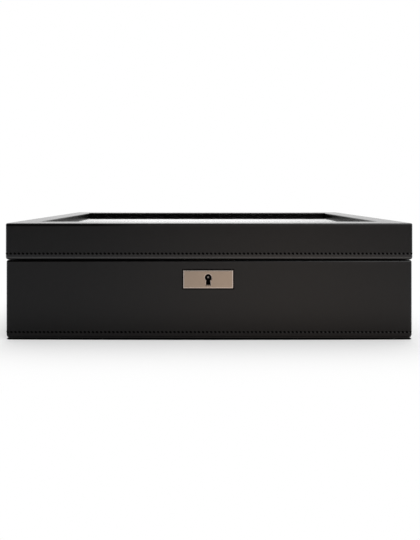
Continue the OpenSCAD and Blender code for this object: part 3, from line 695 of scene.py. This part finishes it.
def blown_cloth(piece):
    """Gives the piece a cloth modifier under pressure from inside, with seams that shrink."""
    seams = piece.vertex_groups.new(name="seams")
    for ring in (END_RINGS, CUSHION_RINGS - 1 - END_RINGS):
        seams.add([1 + ring*CUSHION_AROUND + k for k in range(CUSHION_AROUND)], 1.0, "REPLACE")
    cloth = piece.modifiers.new("Cloth", "CLOTH")
    cloth.collision_settings.use_collision = False
    settings = cloth.settings
    settings.quality = 6
    settings.mass = 0.12
    settings.tension_stiffness = 20
    settings.compression_stiffness = 12
    settings.shear_stiffness = 8
    settings.bending_stiffness = 0.6
    settings.use_pressure = True
    settings.uniform_pressure_force = 4.0
    settings.vertex_group_shrink = "seams"
    settings.shrink_min = 0.0
    settings.shrink_max = 0.18
    settings.effector_weights.gravity = 0.0


def sewn_pillow(low, high):
    """The pillow that all the cushions are copied from. Cloth under pressure swells it between its
    seams, which shrink and pucker it. Returns its points about its middle, and its faces."""
    half = np.array(high - low)/2*CUSHION_SHRINK
    points = np.concatenate(pillow_points(*half))
    faces = capped_tube_faces(CUSHION_RINGS, CUSHION_AROUND)
    piece = mesh_piece("sewn_pillow", points, faces)
    blown_cloth(piece)
    scene = bpy.context.scene
    for number in range(1, CLOTH_FRAMES + 1):
        scene.frame_set(number)
    shaped = piece.evaluated_get(bpy.context.evaluated_depsgraph_get()).to_mesh()
    moved = np.empty(len(points)*3)
    shaped.vertices.foreach_get("co", moved)
    shift = moved.reshape(-1, 3) - points
    far = np.linalg.norm(shift, axis=1, keepdims=True)
    points = points + shift*np.minimum(1.0, CLOTH_CAP/np.maximum(far, 1e-9))
    bpy.data.objects.remove(piece)
    scene.frame_set(1)
    return points, faces


def fit_inside(points, low, high, rng):
    """One cushion's own points. The mean of some sine waves through space dents them, in and out
    from the middle, and they lean to the back in proportion to x. Then each axis is stretched or
    squeezed so that they just fill the room between low and high."""
    middle, half = np.array(low + high)/2, np.array(high - low)/2
    phase = rng.uniform(0, 2*math.pi, DENT_WAVES)
    pace = rng.uniform(*DENT_PACE, (DENT_WAVES, 3))
    dent = np.sin(points @ pace.T + phase).mean(1, keepdims=True)
    away = points/np.linalg.norm(points, axis=1, keepdims=True)
    shaped = points + away*dent*DENT_DEPTH
    shaped[:, 1] += TWIST_SPREAD*rng.standard_normal()*shaped[:, 0]
    reach = np.abs(shaped).max(0)
    return shaped*(half/reach) + middle


def cushions(material):
    """Ten suede pillows, each in its own compartment on its own body."""
    rng = np.random.default_rng(RANDOM_SEED)
    names = sorted(name for name in NODES if name.startswith("cushion_"))
    points, faces = sewn_pillow(*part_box(names[0]))
    for name in names:
        pillow = name.replace("cushion_", "pillow_")
        piece = mesh_piece(pillow, fit_inside(points, *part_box(name), rng), faces)
        smooth = piece.modifiers.new("Subdivision", "SUBSURF")
        smooth.levels = smooth.render_levels = 1
        piece.data.materials.append(material)
        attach(piece, pillow)
        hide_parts(name)


# ---- Studio ----

def painted_paper_reflection(f, x, y, distance):
    """A painted reflection of the paper, an emission that only mirrored rays see: dim near the box
    and dimmest at its foot, with a painted pool of warmer, brighter light in front of its right
    half, which widens and moves to the right away from the box."""
    ahead = (0 - y).at_least(0.0)
    pool = (x - 60*MM - ahead*0.18)/(140*MM + ahead*0.33)
    glow = f.maths("EXPONENT", pool*pool*(-1.0))
    colour = f.mix(glow, COOL_WHITE, WARM_WHITE)
    in_front = y.below(0.0, soft=200*MM)
    near = (0.3 + distance.below(12*MM, soft=12*MM)*0.1 + distance.above(50*MM, soft=90*MM)*0.62
            + distance.above(500*MM, soft=600*MM)*0.08)
    gap = 0.16 + distance.above(1.5*MM, soft=8*MM)*0.84
    return f.glow(colour, (1.0 - in_front*(0.42 - glow*0.80))*(near*gap))


def floor_finish():
    """White paper. It takes shadows near the box, and further away it shines plain white to the
    camera and through glass. A black contact shadow is painted on it along the box's lower edge. It
    is clear under the box and from below, so that the underside shows, and where the box mirrors
    it, a painted reflection of the paper, which glows, stands in for it."""
    f = Finish("white_paper", {"Roughness": 0.9, "Specular IOR Level": 0.1})
    x, y, _ = f.axes()
    across = (x.size() - (CASE_HIGH.x - CORNER_RADIUS)).at_least(0.0)
    deep = (y.size() - (CASE_HIGH.y - CORNER_RADIUS)).at_least(0.0)
    distance = f.maths("SQRT", across*across + deep*deep) - CORNER_RADIUS
    outwards = x/CASE_HIGH.x
    # Painted contact shadow: the paper is black within about a millimetre of the box's foot, less
    # far towards its ends.
    outside_contact_shadow = distance.above(0.85*MM - outwards*outwards*(1.1*MM), soft=1.2*MM)
    away = (0.36 + distance.above(40*MM, soft=90*MM)*0.64)*outside_contact_shadow
    f.finish(Base_Color=f.mix(outside_contact_shadow, BLACK, PAPER))
    shown = f.blend(away*f.seen(), f.surface(), f.glow(WHITE, 1.0))
    mirrored = f.ray("Is Glossy Ray")*(1 - f.ray("Is Transmission Ray"))
    from_above = f.blend(mirrored, shown, painted_paper_reflection(f, x, y, distance))
    covered = (x.size().below(CASE_HIGH.x - FLOOR_CLEAR, soft=1*MM)
               * y.size().below(CASE_HIGH.y - FLOOR_CLEAR, soft=1*MM))
    below = f.node("ShaderNodeNewGeometry").other("Backfacing")
    clear = f.node("ShaderNodeBsdfTransparent")
    f.show("Material Output", f.blend(covered.at_least(below), from_above, clear))
    return f.material


def paper_floor():
    """A flat disc just below the ground. Its rings' radius grows with the square of their number,
    so that they lie closer together near the box."""
    reach = FLOOR_RADIUS*np.linspace(0, 1, FLOOR_RINGS + 1)[1:]**2
    place = np.arange(FLOOR_AROUND)
    angle = place*2*math.pi/FLOOR_AROUND
    flat = reach[:, None, None]*np.stack([np.cos(angle), np.sin(angle)], -1)
    points = np.full((1 + FLOOR_RINGS*FLOOR_AROUND, 3), -FLOOR_DROP)
    points[:, :2] = np.concatenate([np.zeros((1, 2)), flat.reshape(-1, 2)])
    centre = np.stack([np.zeros(FLOOR_AROUND, int), 1 + place, 1 + (place + 1) % FLOOR_AROUND], -1)
    floor = mesh_piece("paper_floor", points,
                       [centre, 1 + ring_faces(FLOOR_RINGS, FLOOR_AROUND)[:, ::-1]])
    floor.data.materials.append(floor_finish())


def sky(world):
    """The studio round the box. The camera sees plain white. The light comes from overhead, from
    a white wall behind the box, which is brightest in its middle, from a window high on the right
    and from below, while the rest in front is dark."""
    world.use_nodes = True
    f = Shading(world.node_tree)
    x, y, z = f.split(f.node("ShaderNodeTexCoord").other("Generated"))
    wall = y.above(0.10, soft=0.50)*(1 - x.size().above(0.25, soft=0.30)*0.3)
    ceiling = z.above(0.70, soft=0.60)*(0.3 + x.above(0.05, soft=0.9)*0.7)
    window = x.above(0.22, soft=0.30)*y.below(-0.2, soft=0.3)*z.above(0.3, soft=0.3)*1.8
    under = z.below(-0.35, soft=0.3)*0.8
    lit = wall.at_least(ceiling).at_least(window).at_least(under)
    strength = STUDIO_DIM + (STUDIO_BRIGHT - STUDIO_DIM)*lit
    light = f.node("ShaderNodeBackground", None, {"Color": WHITE, "Strength": strength})
    white = f.node("ShaderNodeBackground", None, {"Color": WHITE, "Strength": 1.0})
    f.show("World Output", f.blend(f.seen(), light, white))


def overhead_lamp():
    """A broad soft lamp that faces the box, and that neither it nor its glass mirrors."""
    light = bpy.data.lights.new("overhead", "AREA")
    light.size = LAMP_SIZE
    light.energy = LAMP_WATTS
    holder = bpy.data.objects.new("overhead", light)
    holder.location = LAMP_PLACE
    holder.rotation_euler = (-Vector(LAMP_PLACE)).to_track_quat("-Z", "Y").to_euler()
    holder.visible_glossy = False
    holder.visible_transmission = False
    bpy.context.scene.collection.objects.link(holder)


def studio():
    """A white floor, the studio round it, and the lamp."""
    paper_floor()
    scene = bpy.context.scene
    scene.view_settings.view_transform = "Standard"
    scene.world = bpy.data.worlds.new("studio")
    sky(scene.world)
    overhead_lamp()


def camera():
    """A level camera close to the front, a little above the lid."""
    data = bpy.data.cameras.new("camera")
    data.lens = CAMERA_LENS
    data.sensor_width = CAMERA_SENSOR
    data.shift_x, data.shift_y = CAMERA_SHIFT
    holder = bpy.data.objects.new("camera", data)
    holder.location = (CAMERA_X, LID_LOW.y - CAMERA_AHEAD, CAMERA_Z)
    holder.rotation_euler = (math.radians(90), 0, 0)
    bpy.context.scene.collection.objects.link(holder)
    bpy.context.scene.camera = holder


# ---- The box ----

camera()
studio()
give_materials()
thread_finish = thread()
stitches("lid_stitches", LID_HIGH.x - LID_LOW.x, LID_HIGH.y - LID_LOW.y, LID_STITCH_Z,
         "lid", thread_finish)
stitches("case_stitches", CASE_HIGH.x - CASE_LOW.x, CASE_HIGH.y - CASE_LOW.y, CASE_STITCH_Z,
         "case", thread_finish)
cushions(suede("cushion_suede", CUSHION_SUEDE, BRUSHED_CUSHION, sheen=0.5))
